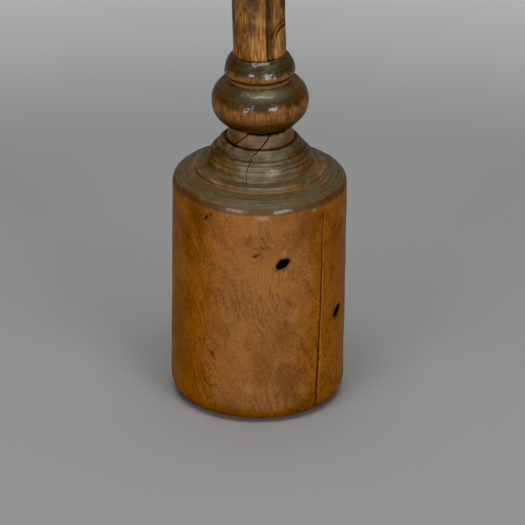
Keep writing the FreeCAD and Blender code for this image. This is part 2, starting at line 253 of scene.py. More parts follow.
def smooth(value, low, high):
    """0 below low, 1 above high, and an even S between them."""
    share = np.clip((value - low) / (high - low), 0.0, 1.0)
    return share * share * (3 - 2 * share)


def peak(value, middle, width):
    """1 at the middle, falling away to nothing on both sides."""
    return np.exp(-((value - middle) / width) ** 2)


def between(ends, share):
    """The value that lies this share of the way from the first end to the second."""
    return ends[0] + (ends[1] - ends[0]) * share


def strongest(*marks):
    """The largest of several marks at every point."""
    return reduce(np.maximum, marks)


def ripple(points, wavelength, seed, stretch=(1.0, 1.0, 1.0), waves=16):
    """Seamless noise of unit spread: a sum of plane waves through the wood."""
    rng = np.random.default_rng(seed)
    total = np.zeros(points.shape[:-1])
    scaled = points / np.array(stretch)
    for _ in range(waves):
        heading = rng.normal(size=3)
        heading /= np.linalg.norm(heading)
        length = wavelength * rng.uniform(0.6, 1.7)
        total += np.sin(scaled @ heading * 2 * np.pi / length + rng.uniform(0, 2 * np.pi))
    return total / np.sqrt(waves / 2)


def arc(start, end, radius, count):
    """Points of the arc from start to end that bulges away from the axis, without its start."""
    chord = end - start
    length = np.hypot(*chord)
    left = np.array((-chord[1], chord[0])) / length
    centre = (start + end) / 2 + left * np.sqrt(radius ** 2 - (length / 2) ** 2)
    first = np.arctan2(*(start - centre)[::-1])
    last = np.arctan2(*(end - centre)[::-1])
    if last < first:
        last += 2 * np.pi
    angles = np.linspace(first, last, count + 1)[1:]
    return centre + radius * np.stack((np.cos(angles), np.sin(angles)), axis=1)


class Outline:
    """A turned outline, its edges worn round, sampled more closely where it bends."""

    FINE = 0.04

    def __init__(self, corners, spacing, soften, detail):
        points = [np.array([corners[0][:2]], float)]
        for (across0, up0, *_), (across1, up1, *radius) in zip(corners, corners[1:]):
            start, end = np.array((across0, up0)), np.array((across1, up1))
            count = max(2, int(np.hypot(*(end - start)) / self.FINE))
            if radius:
                points.append(arc(start, end, *radius, count))
            else:
                share = np.linspace(0, 1, count + 1)[1:, None]
                points.append(start + (end - start) * share)
        line = self.blur(np.concatenate(points), soften / self.FINE)
        step = np.diff(line, axis=0)
        along = np.concatenate(((0,), np.cumsum(np.hypot(step[:, 0], step[:, 1]))))
        turn = np.gradient(np.unwrap(np.arctan2(*np.gradient(line, axis=0).T[::-1])), along)
        density = self.blur(1 / spacing + detail * np.minimum(np.abs(turn), 3.0), 6)
        mean = (density[1:] + density[:-1]) / 2
        total = np.concatenate(((0,), np.cumsum(mean * np.diff(along))))
        rows = int(total[-1])
        self.along = np.interp(np.linspace(0, total[-1], rows), total, along)
        self.across = np.interp(self.along, along, line[:, 0])
        self.up = np.interp(self.along, along, line[:, 1])
        self.across[[0, -1]] = line[[0, -1], 0]
        tangent = np.stack([np.gradient(side, self.along) for side in (self.across, self.up)])
        tangent /= np.hypot(*tangent)
        self.normal = np.stack((tangent[1], -tangent[0]))
        self.bend = np.interp(self.along, along, turn)

    @staticmethod
    def blur(line, sigma):
        """Gaussian smoothing that keeps both ends in place."""
        reach = int(3 * sigma) + 1
        kernel = np.exp(-0.5 * (np.arange(-reach, reach + 1) / sigma) ** 2)
        kernel /= kernel.sum()
        columns = line.reshape(len(line), -1).T
        padded = [np.concatenate((2 * c[0] - c[reach:0:-1], c, 2 * c[-1] - c[-2:-reach - 2:-1]))
                  for c in columns]
        out = np.stack([np.convolve(c, kernel, "valid") for c in padded], axis=1)
        return out.reshape(line.shape)


class Columns:
    """The azimuth of every column in every row. Seven columns follow each crack up its path."""

    END_FADE = 1.5
    LEAST_WIDTH = 0.12
    LEAST_REACH = 6.0

    def __init__(self, outline, cracks, spans, radius):
        """spans are (azimuth, spacing after it) around the piece, -180 first, cracks left out."""
        self.outline = outline
        self.depth_at, self.dark_at, self.lit_lip_at = {}, {}, {}
        self.lines, self.places = [], []
        anchors = [(azimuth, spacing, None) for azimuth, spacing in spans]
        anchors += [(self.path(crack).mean(), None, crack) for crack in cracks]
        anchors.sort(key=lambda anchor: anchor[0])
        anchors.append((180.0, None, None))

        column, spacing, previous = 0, spans[0][1], None
        for azimuth, new_spacing, crack in anchors:
            if previous is not None:
                column += max(1, round(np.radians(azimuth - previous) * radius / spacing))
            previous = azimuth
            spacing = new_spacing or spacing
            if crack is None:
                self.lines.append(np.full(len(outline.up), azimuth))
                self.places.append(column)
            else:
                column = self.follow(crack, column)

        self.azimuth = np.empty((len(outline.up), column))
        for left, right, line0, line1 in zip(self.places, self.places[1:],
                                             self.lines, self.lines[1:]):
            share = (np.arange(left, right) - left) / (right - left)
            self.azimuth[:, left:right] = line0[:, None] + (line1 - line0)[:, None] * share

    def path(self, crack):
        """The azimuth of a crack's middle in every row."""
        heights, turns = np.array(crack["path"]).T
        return np.interp(self.outline.up, heights, turns)

    def follow(self, crack, column):
        """Lays seven columns along a crack, from this column on. Gives back the last one."""
        up, (low, high) = self.outline.up, crack["ends"]
        share = np.clip((up - low) / (high - low), 0, 1)
        fade = smooth(up, low, low + self.END_FADE)
        fade = fade * smooth(-up, -high, -high + self.END_FADE)
        reach = np.maximum(self.outline.across, self.LEAST_REACH)
        seed = len(self.places)
        aside = self.jagged(up, crack["wander"], seed)
        ragged = 1 + 0.35 * self.jagged(up, 1.0, seed + 50)
        width = np.maximum(between(crack["width"], share) * ragged, self.LEAST_WIDTH)
        depth = between(crack["depth"], share)
        for place, apart, deep, dark, worn in CRACK_COLUMNS:
            offset = place * width / 2 + apart + aside
            self.lines.append(self.path(crack) + np.degrees(offset / reach))
            self.places.append(column)
            self.depth_at[column] = deep * depth * fade
            self.dark_at[column] = dark * fade
            self.lit_lip_at[column] = worn * crack["lip"] * fade
            column += 1
        return column - 1

    @staticmethod
    def jagged(up, size, seed):
        """A broken line's sideways offsets, in millimetres."""
        rng = np.random.default_rng(seed)
        knots = np.arange(up.min() - 2, up.max() + 3, 0.7)
        return size * np.interp(up, knots, rng.uniform(-1, 1, len(knots)))

    def spread(self, table):
        """Lays one value per crack column out over the whole grid."""
        grid = np.zeros(self.azimuth.shape)
        for column, values in table.items():
            grid[:, column] = values
        return grid


def around(across, up, azimuth):
    """Points of a turned surface from their radius, height and azimuth."""
    turn = np.radians(azimuth)
    return np.stack((across * np.sin(turn), -across * np.cos(turn), up + 0 * turn), axis=-1)


def onto_seat(points):
    """Takes points from the leaning axis's own frame to the muddler's."""
    x, y, z = np.moveaxis(points, -1, 0)
    cos, sin = np.cos(LEAN), np.sin(LEAN)
    return np.stack((x * cos - z * sin, y, x * sin + z * cos), axis=-1) + SEAT


class Turning:
    """A turned outside as a grid of points: rows along its outline, columns around it."""

    def __init__(self, outline, azimuth):
        self.azimuth = azimuth
        self.across = outline.across[:, None]
        self.up = np.broadcast_to(outline.up[:, None], azimuth.shape)
        self.along = outline.along[:, None]
        self.bend = outline.bend[:, None]
        self.out, self.rise = outline.normal[:, :, None]
        self.points = around(self.across, self.up, azimuth)

    def ripple(self, wavelength, seed, stretch=(1.0, 1.0, 1.0)):
        return ripple(self.points, wavelength, seed, stretch)

    def rows_ripple(self, wavelength, seed):
        """Noise that is the same all around, as a turner's tool leaves it."""
        return ripple(np.repeat(self.along, 3, axis=1), wavelength, seed)[:, None]

    def patches(self, table, reach, ragged):
        """Soft patches from a table of (azimuth, height, sideways, upwards, strength). reach is
        what one radian of azimuth counts for sideways."""
        total = np.zeros(self.azimuth.shape)
        for azimuth, height, sideways, upwards, strength in table:
            aside = np.radians((self.azimuth - azimuth + 180) % 360 - 180) * reach
            distance = np.hypot(aside / sideways, (self.up - height) / upwards)
            distance = distance * np.clip(ragged, 0.6, 1.6)
            total = np.maximum(total, strength * np.exp(-distance ** 2))
        return total

    def hollows_and_edges(self, seed):
        """How much the hollows of a turning are darkened, and the patchy wear on its edges."""
        mottle = self.ripple(9.0, seed) + 0.6 * self.ripple(3.0, seed + 1)
        hollow = smooth(-self.bend, 0.15, 1.2)
        return hollow, smooth(self.bend, 0.35, 1.6) * smooth(mottle, -1.2, 1.2)

    def move(self, outwards, upwards):
        """Moves each point away from the axis and up."""
        self.points = self.points + around(outwards, upwards, self.azimuth)

    def swell(self, amount):
        """Moves each point along the surface's outward normal."""
        self.move(self.out * amount, self.rise * amount)


def put_in_scene(name, data):
    """Makes the object of a mesh, a lamp or a camera."""
    made = bpy.data.objects.new(name, data)
    bpy.context.scene.collection.objects.link(made)
    return made


def mesh_piece(name, points, marks, loop=False):
    """Makes a closed mesh from rows of points around an axis. marks are values per point.
    A loop's last row joins its first. Otherwise both ends are closed to a middle point."""
    rows, columns = points.shape[:2]
    here = np.arange(rows * columns).reshape(rows, columns)
    beside = np.roll(here, -1, axis=1)
    if loop:
        above, beside_above = np.roll(here, -1, axis=0), np.roll(beside, -1, axis=0)
        faces = np.stack((here, beside, beside_above, above), axis=-1).reshape(-1, 4).tolist()
        vertices = points.reshape(-1, 3)
    else:
        quads = np.stack((here[:-1], beside[:-1], beside[1:], here[1:]), axis=-1)
        low, high = rows * columns, rows * columns + 1
        faces = quads.reshape(-1, 4).tolist()
        faces += [(low, int(b), int(a)) for a, b in zip(here[0], beside[0])]
        faces += [(high, int(a), int(b)) for a, b in zip(here[-1], beside[-1])]
        ends = np.stack((points[0].mean(axis=0), points[-1].mean(axis=0)))
        vertices = np.concatenate((points.reshape(-1, 3), ends))
    mesh = bpy.data.meshes.new(name)
    mesh.from_pydata((vertices * MM).tolist(), [], faces)
    for mark, values in marks.items():
        flat = np.broadcast_to(values, (rows, columns)).reshape(-1)
        if not loop:  # the two middle points
            flat = np.concatenate((flat, (flat[0], flat[-1])))
        layer = mesh.attributes.new(mark, "FLOAT", "POINT")
        layer.data.foreach_set("value", flat.astype(np.float32))
    mesh.shade_smooth()
    mesh.validate()
    return put_in_scene(name, mesh)


def with_bore(points, marks, azimuth, heights):
    """Adds the rows of the leaning bore, bare and darkened with painted shade, to the points and
    marks of an outside.
    """
    in_bore = {"grime_and_shade": 0.6, "dark": 0.5}
    shape = (len(heights), azimuth.shape[1])
    bore = around(BORE_RADIUS, heights[:, None], np.broadcast_to(azimuth[-1], shape))
    marks = {name: np.concatenate((np.broadcast_to(values, azimuth.shape),
                                   np.full(shape, in_bore.get(name, 0))))
             for name, values in marks.items()}
    return np.concatenate((points, onto_seat(bore))), marks


# ---- head

def oval(block, azimuth, height, length, width, tilt):
    """Distance from a mark's middle on the head's wall, 1 at the edge of its oval."""
    level = np.radians(block.azimuth - azimuth) * HEAD_RADIUS
    rise = block.up - height
    cos, sin = np.cos(np.radians(tilt)), np.sin(np.radians(tilt))
    return np.hypot((level * cos + rise * sin) / (length / 2),
                    (rise * cos - level * sin) / (width / 2))


def head_marks(block, ridges, grooves):
    """Where the head's wood is covered, darkened by dirt and by painted shade, rubbed, pale, lit
    by painted highlights, and waxed.
    """
    azimuth, up, rise = block.azimuth, block.up, block.rise
    hollow, wear = block.hollows_and_edges(seed=11)
    cloud = block.ripple(12.0, 12, (1, 1, 0.6))
    ragged = 1 + 0.25 * block.ripple(7.0, 14) + 0.15 * block.ripple(2.5, 15)
    above_wall = smooth(up, *RIM_FADE)

    # darker places: a band under the rim, painted darker still at the sides as shade, and smudges
    # elsewhere
    rim_band = smooth(rise, 0.04, 0.22) * smooth(-rise, -0.66, -0.38)
    rim_band = rim_band * above_wall * smooth(-up, -96.5, -95.5)
    aside = np.sin(np.radians(azimuth)) ** 2
    smudge_and_shade = strongest(0.17 * smooth(block.ripple(13.0, 13), 0.5, 2.2),
                       1.15 * block.patches(HEAD_SMUDGES, HEAD_RADIUS, ragged),
                       (0.60 + 0.28 * aside) * rim_band)

    # patina: thick on every ledge, worn through on parts of the bell, thin on the wall's smudges
    bare_bell = block.patches(BARE_BELL, np.degrees(1), 1 + 0.2 * cloud)
    moulded = 0.90 + 0.10 * smooth(rise, 0.0, 0.7) - 0.16 * smooth(cloud, 0.1, 1.6)
    moulded = moulded - 0.55 * bare_bell - 0.30 * smooth(up, 110.9, 112.0)
    ledge = smooth(rise + 0.03 * cloud, 0.26, 0.56)
    step_line = peak(up, 98.05, 0.22)
    patina = np.where(up > MOULDING_FOOT, moulded, np.maximum(ledge, 0.3 * smudge_and_shade))
    patina = patina * (1 - 0.55 * step_line)

    # wear: the edges of the turning, a line on the rim and one along the step's foot
    rim = smooth(rise, 0.02, 0.25) * above_wall
    wear = np.maximum(wear * smooth(up, 8.0, 12.0) * (1 - rim), 0.5 * peak(up, 94.0, 0.20))
    worn_step = step_line * smooth(block.ripple(22.0, 17), -1.2, 1.0)
    wear = np.maximum(wear * (1 - 0.9 * smooth(up, 96.0, 97.0)), 0.36 * worn_step)

    # grime_and_shade: darker hollows, the rim's band and the foot, the bell's grooves, and painted
    # shade on the bell's sides
    foot_darkening = 0.30 * smooth(-up, -9.0, -1.0) * smooth(cloud + 0.6 * rise, -1.6, 1.0)
    bell_shade = block.patches(BELL_SHADE, np.degrees(1), 1 + 0.3 * cloud)
    grime_and_shade = strongest(0.15 * hollow, 0.36 * rim_band, foot_darkening, 0.66 * grooves, bell_shade)

    # pale: the moulding's rubbed edges with painted highlights along its ridges in front, the
    # neck, and single spots, some of them painted highlights
    front = 0.5 + 0.5 * np.cos(np.radians(azimuth))
    rubbed = smooth(block.ripple(5.0, 16), -0.6, 1.4) * smooth(up, MOULDING_FOOT, 98.6)
    pale = rubbed * (0.09 + 0.22 * smooth(block.bend, 0.2, 1.2) + 0.42 * front * ridges)
    pale = np.where(up > NECK_FOOT, 0.15 + 0.08 * cloud, pale) * (1 - bell_shade)
    pale = np.maximum(pale, block.patches(PALE_SPOTS_AND_HIGHLIGHTS, HEAD_RADIUS, ragged))

    # wax: bright on the rim, dull on the moulding except for one place right of its middle
    bell_shine = peak(azimuth, 14.0, 13.0) * peak(up, 103.2, 2.6)
    polish = np.maximum(np.where(up > WAX_TOP, 0.14 + 0.86 * bell_shine, rim), 0.08)
    return {"patina": patina, "grime_and_shade": grime_and_shade, "wear": wear, "polish": polish,
            "along": block.along, "pale": pale, "smudge_and_shade": smudge_and_shade}


def head_relief(block, ridges, grooves):
    """The head's unevenness, knot holes and dents. Gives back the relief, how dark the dents are,
    and a value that grows towards the middle of each knot hole."""
    up = block.up
    edges = smooth(np.abs(block.bend), 0.05, 0.5)
    relief = 0.07 * block.ripple(15.0, 1) + 0.035 * block.ripple(5.0, 2, (1, 1, 3))
    relief += edges * 0.09 * block.ripple(4.0, 3)
    relief *= smooth(up, -0.2, 3.0)
    relief += 0.04 * block.rows_ripple(1.3, 4) * smooth(up, 94.5, 96.5)
    relief += 0.14 * (ridges - grooves)

    on_wall = smooth(up, 2.0, 4.0)
    ragged = 1 + 0.035 * block.ripple(3.0, 5)
    dark, hole = np.zeros(up.shape), np.zeros(up.shape)
    for azimuth, height in KNOTS:
        distance = oval(block, azimuth, height, *KNOT_SIZE) * ragged
        relief -= KNOT_DEPTH * smooth(-distance, -1.05, -0.60) * on_wall
        relief += 0.10 * smooth(-np.abs(distance - 1.25), -0.30, 0.0) * on_wall
        hole = np.maximum(hole, np.clip(2.0 - distance, 0.0, 2.0) * on_wall)
    for azimuth, height, length, width, tilt, depth, darkness in WALL_DENTS:
        distance = oval(block, azimuth, height, length, width, tilt)
        dent = smooth(-distance, -1.3, -0.5) * on_wall
        relief -= depth * dent
        dark = np.maximum(dark, darkness * dent)
    return relief, dark, hole


def sink_cracks(block, columns):
    """Cuts the cracks: straight in through the wall, aslant into the moulded shoulder."""
    depth = columns.spread(columns.depth_at)
    slant = smooth(block.up, 96.0, 98.5)
    inwards = block.out * (1 - slant) + 0.8 * slant
    downwards = block.rise * (1 - slant) + 0.6 * slant
    block.move(-inwards * depth, -downwards * depth)


def break_neck(block):
    """Breaks the neck's upper edge, which leaves a jagged gap under the ball, painted black as
    shade.
    Gives back where it is broken."""
    azimuth = block.azimuth
    in_front = smooth(azimuth, -27.0, -24.0) * smooth(-azimuth, -78.0, -55.0)
    corners = np.arange(-180, 181, 4.5)
    jag = np.interp(azimuth, corners,
                    np.random.default_rng(6).uniform(0.25, 1.0, len(corners)))
    gap = in_front * jag * (0.24 + 0.40 * smooth(azimuth, 14.0, 22.0))
    broken = smooth(block.up - (NECK_HEIGHT - gap), -0.16, 0.10) * (gap > 0.03) * in_front
    neck_top = smooth(block.across, 9.0, 10.0)
    block.move(-1.5 * broken * neck_top, -0.25 * broken)
    return broken


def build_head():
    """The striking block: worn rim, knot holes, long drying check and the cracked neck."""
    outline = Outline(HEAD_OUTLINE, spacing=0.62, soften=0.30, detail=1.3)
    columns = Columns(outline, (SIDE_CRACK, NECK_CRACK, DRYING_CHECK), HEAD_SPANS, HEAD_RADIUS)
    block = Turning(outline, columns.azimuth)
    ridges, grooves = (sum(peak(block.up, height, BELL_LINE_WIDTH) for height in heights)
                       for heights in (BELL_RIDGES, BELL_GROOVES))

    marks = head_marks(block, ridges, grooves)
    relief, dark, hole = head_relief(block, ridges, grooves)
    block.swell(relief)
    sink_cracks(block, columns)
    broken = break_neck(block)
    # black painted as shade in the cracks and the neck's broken gap, and the dents' darkness
    marks["dark"] = strongest(dark, columns.spread(columns.dark_at), broken)
    # the drying check's right lip is painted lighter as a highlight, through the wear mark
    marks["wear"] = np.maximum(marks["wear"], columns.spread(columns.lit_lip_at))
    marks["hole"] = hole

    socket = np.linspace(0, SOCKET_FOOT, SOCKET_ROWS + 1)[1:]
    return mesh_piece("head_turned", *with_bore(block.points, marks, block.azimuth, socket))


# ---- collar and handle

def build_collar():
    """Ball and ring in one turning, with a hairline check in the ball's front."""
    outline = Outline(COLLAR_OUTLINE, spacing=0.42, soften=0.18, detail=1.3)
    columns = Columns(outline, (BALL_CHECK,), COLLAR_SPANS, BALL_RADIUS)
    ball = Turning(outline, columns.azimuth)
    azimuth, across, up, rise = ball.azimuth, ball.across, ball.up, ball.rise
    hollow, wear = ball.hollows_and_edges(seed=21)
    hollow = 0.2 * hollow
    on_ring = smooth(up, 20.5, 21.5)
    crease = smooth(up, 19.1, 19.7) * smooth(-up, -22.4, -21.2)
    outer = smooth(across, 10.0, 11.0)
    downward = smooth(-rise, 0.02, 0.52)
    underside = downward * (across > 10.0)
    # the ball's sides as seen from the front, which are painted darker as shade
    sides = peak(np.abs(azimuth - 4.0), 70.0, 17.0) * (1 - on_ring)

    # patina: on all that looks up, thinner at the ball's sides, worn off around the crease; the
    # thinning at the sides and the dark patina on the underside belong to the painted shade there
    cloud = ball.ripple(10.0, 25, (1, 1, 0.5))
    uneven = (0.05 - 0.03 * on_ring) * cloud + 0.04 * ball.ripple(2.4, 26, (1, 1, 2))
    patina = smooth(rise + uneven + 0.06 * on_ring, 0.08, 0.42) * (1 - 0.40 * sides)
    patina = np.maximum(patina * (1 - 0.65 * crease), 0.85 * underside)
    # painted shade: darker at the ball's sides and on all that faces down
    smudge_and_shade = 0.60 * sides * smooth(rise, -0.05, 0.30) + 0.30 * downward

    relief = 0.07 * ball.ripple(9.0, 22) + 0.03 * ball.ripple(3.0, 23)
    relief = (relief + 0.02 * ball.rows_ripple(1.5, 24)) * outer
    ball.swell(relief - columns.spread(columns.depth_at))

    # pale: painted highlights on the ball's top in front and glints on the ring, painted light on
    # the shaded crease, and a little on the underside
    in_front = peak(azimuth, 8.0, 30.0)
    specks = smooth(ball.ripple(1.8, 28, (2, 2, 0.8)), 0.2, 1.2)
    pale = in_front * np.where(on_ring > 0.5, 0.45 * smooth(rise, 0.25, 0.6) * specks,
                               0.95 * smooth(rise, 0.44, 0.90))
    pale = strongest(pale * (1 - crease), 0.12 * underside, 0.34 * crease)

    marks = {"patina": patina, "wear": wear, "polish": 1 - hollow, "pale": pale,
             "smudge_and_shade": smudge_and_shade, "along": ball.along,
             # the hollows, and painted shade under the ball
             "grime_and_shade": np.maximum(hollow, 0.30 * smooth(-rise, 0.30, 0.85) * outer),
             # black painted in the check, and painted shade on the inner parts of both end faces,
             # against the neck and the handle
             "dark": np.maximum(0.8 * columns.spread(columns.dark_at),
                                0.5 * smooth(-across, -9.6, -9.0))}

    bore = np.linspace(COLLAR_HEIGHT, 0, COLLAR_BORE_ROWS + 2)[1:-1]
    points, marks = with_bore(onto_seat(ball.points), marks, azimuth, bore)
    return mesh_piece("collar_turned", points, marks, loop=True)


def plain_columns(outline, count):
    """Evenly spaced columns, the same in every row."""
    azimuth = np.linspace(-180, 180, count, endpoint=False)
    return Turning(outline, np.broadcast_to(azimuth, (len(outline.up), count)))


def open_split(shaft, reach):
    """The handle's long split: its groove, the crevice at its left side, painted black as shade,
    and its lighter right lip.
    """
    up = shaft.up
    share = np.clip((up - COLLAR_HEIGHT) / (SPLIT["top"] - COLLAR_HEIGHT), 0, 1)
    half = between(SPLIT["width"], share) / 2
    middle = SPLIT["azimuth"] + SPLIT["sway"] * np.sin(up / SPLIT["sway_height"])
    level = np.radians(shaft.azimuth - middle) * reach
    fade = smooth(-up, -SPLIT["top"], -SPLIT["top"] + SPLIT["fade"])
    groove = smooth(level + half, -0.15, 0.30) * smooth(half - level, -0.35, 0.50) * fade
    crevice = peak(level, -0.86 * half, 0.20) * fade
    lip = peak(level - half, 0.45, 0.30) * fade
    return groove, crevice, lip


def swelling_distance(shaft, reach):
    """Distance from the middle of the swelling beside the split, 1 at its edge."""
    power = SWELLING["squareness"]
    level = np.radians(shaft.azimuth - SWELLING["azimuth"]) * reach
    sideways = np.abs(level / SWELLING["half_width"]) ** power
    upwards = np.abs((shaft.up - SWELLING["height"]) / SWELLING["half_length"]) ** power
    return (sideways + upwards) ** (1 / power)


def build_shaft():
    """The visible handle: a hand-worn stick with one long open split."""
    outline = Outline(SHAFT_OUTLINE, spacing=0.45, soften=0.12, detail=1.0)
    shaft = plain_columns(outline, SHAFT_COLUMNS)
    up = shaft.up
    reach = np.maximum(shaft.across, 2.0)
    groove, crevice, lip = open_split(shaft, reach)

    # around the swelling run two dark lines of the grain, and its own edge is rubbed
    distance = swelling_distance(shaft, reach)
    whorl = peak(distance, 1.05, 0.055) + 0.6 * peak(distance, 1.27, 0.05)
    whorl = whorl * smooth(up, 34.0, 40.5)
    edge = peak(distance, 0.92, 0.06) * smooth(up, 31.0, 33.0)

    relief = 0.10 * shaft.ripple(22.0, 31, (1, 1, 2.2)) + 0.04 * shaft.ripple(4.0, 32, (1, 1, 6))
    relief += SWELLING["relief"] * smooth(-distance, -1.05, -0.6) - 0.20 * whorl
    relief *= smooth(up, COLLAR_HEIGHT, COLLAR_HEIGHT + 1.0)
    open_floor = 0.35 + 0.65 * smooth(up, COLLAR_HEIGHT, COLLAR_HEIGHT + 4.0)
    relief -= (groove * SPLIT["depth"] + 0.35 * crevice) * open_floor
    shaft.swell(relief)

    ragged = 1 + 0.30 * shaft.ripple(3.0, 33, (1, 1, 2.0))
    mottle = shaft.ripple(10.0, 34, (1, 1, 1.8)) + 0.7 * shaft.ripple(3.2, 35, (1, 1, 2.5))
    stains = np.minimum(1.4 * shaft.patches(SHAFT_STAINS, reach, ragged), 1.0)
    rubs = shaft.patches(SHAFT_RUBS, reach, ragged) * (1 - groove)
    foot_grime = 0.3 * smooth(-up, -COLLAR_HEIGHT - 0.9, -COLLAR_HEIGHT)
    marks = {
        "patina": strongest(stains, 0.78 * groove, 0.40 * smooth(mottle, 0.8, 2.4)),
        "grime_and_shade": strongest(0.10 * groove, foot_grime, shaft.patches(SHAFT_DIRT, reach, ragged)),
        "wear": strongest(rubs, 0.6 * lip, 0.8 * edge, 0.2 * smooth(-distance, -1.0, -0.7)),
        # painted shade in the crevice, and dark lines of the grain round the swelling
        "dark": np.maximum(0.75 * crevice, 0.90 * whorl),
        "polish": 0.45 - 0.45 * groove,
        "along": up,
    }
    return mesh_piece("handle_shaft", onto_seat(shaft.points), marks)


def build_tenon():
    """The handle's hidden end, bare wood inside the collar and the head."""
    outline = Outline(TENON_OUTLINE, spacing=1.6, soften=0.3, detail=0.8)
    tenon = plain_columns(outline, TENON_COLUMNS)
    marks = {"patina": 0, "grime_and_shade": 0.3, "wear": 0, "dark": 0, "polish": 0, "along": 0}
    return mesh_piece("handle_tenon", onto_seat(tenon.points), marks)


# ---- materials

class Shader:
    """Lays out the nodes of a material or a world. Most methods give back an output socket."""

    def __init__(self, owner):
        owner.use_nodes = True
        self.owner = owner
        self.tree = owner.node_tree

    def node(self, kind, settings=(), inputs=()):
        made = self.tree.nodes.new(kind)
        for key, value in dict(settings).items():
            setattr(made, key, value)
        for key, value in dict(inputs).items():
            self.feed(made.inputs[key], value)
        return made

    def feed(self, socket, value):
        if isinstance(value, bpy.types.NodeSocket):
            self.tree.links.new(value, socket)
        elif isinstance(value, (tuple, list)) and len(value) == 3 and socket.type == "RGBA":
            socket.default_value = (*value, 1.0)
        else:
            socket.default_value = value

    def finish(self, kind, inputs):
        """Feeds the node that ends the material or world, and gives back its owner."""
        for key, value in inputs.items():
            self.feed(self.tree.nodes[kind].inputs[key], value)
        return self.owner

    def math(self, operation, a, b=0.0, c=0.0):
        return self.node("ShaderNodeMath", {"operation": operation}, {0: a, 1: b, 2: c}).outputs[0]

    def mark(self, name):
        return self.node("ShaderNodeAttribute", {"attribute_name": name}).outputs["Fac"]

    def place(self, stretch, shift=(0.0, 0.0, 0.0), turn=(0.0, 0.0, 0.0)):
        """Object coordinates in millimetres, turned, shifted and stretched."""
        where = self.node("ShaderNodeTexCoord").outputs["Object"]
        mapping = self.node("ShaderNodeMapping", (), {"Vector": where})
        mapping.inputs["Scale"].default_value = [s / MM for s in stretch]
        mapping.inputs["Location"].default_value = shift
        mapping.inputs["Rotation"].default_value = turn
        return mapping.outputs[0]

    def warp(self, vector, scale, amount):
        """Pushes a vector about by smooth noise, so that grain runs in waves."""
        made = self.node("ShaderNodeTexNoise", (), {"Vector": self.place((1.0, 1.0, 0.5)),
                                                    "Scale": scale, "Detail": 2.0})
        centred = self.node("ShaderNodeVectorMath", {"operation": "MULTIPLY_ADD"},
                            {0: made.outputs["Color"], 1: (amount,) * 3, 2: vector})
        return centred.outputs[0]

    def length(self, vector):
        return self.node("ShaderNodeVectorMath", {"operation": "LENGTH"},
                         {0: vector}).outputs["Value"]

    def noise(self, vector, scale, detail=3.0, roughness=0.5, distortion=0.0):
        return self.node("ShaderNodeTexNoise", (), {
            "Vector": vector, "Scale": scale, "Detail": detail, "Roughness": roughness,
            "Distortion": distortion}).outputs["Fac"]


    def span(self, value, low, high, to_low=0.0, to_high=1.0):
        return self.node("ShaderNodeMapRange", {"interpolation_type": "SMOOTHSTEP"}, {
            "Value": value, "From Min": low, "From Max": high,
            "To Min": to_low, "To Max": to_high}).outputs["Result"]

    def mix(self, share, a, b, blend="MIX"):
        made = self.node("ShaderNodeMix", {"data_type": "RGBA", "blend_type": blend})
        self.feed(made.inputs[0], share)
        self.feed(made.inputs[6], a)
        self.feed(made.inputs[7], b)
        return made.outputs[2]

    def times(self, a, b):
        return self.math("MULTIPLY", a, b)

    def plus(self, a, b):
        return self.math("ADD", a, b)

    def most(self, a, b):
        return self.math("MAXIMUM", a, b)


def scaled(colour, factor):
    """A colour made darker or lighter, by one factor or by one for each channel."""
    return np.multiply(colour, factor).tolist()


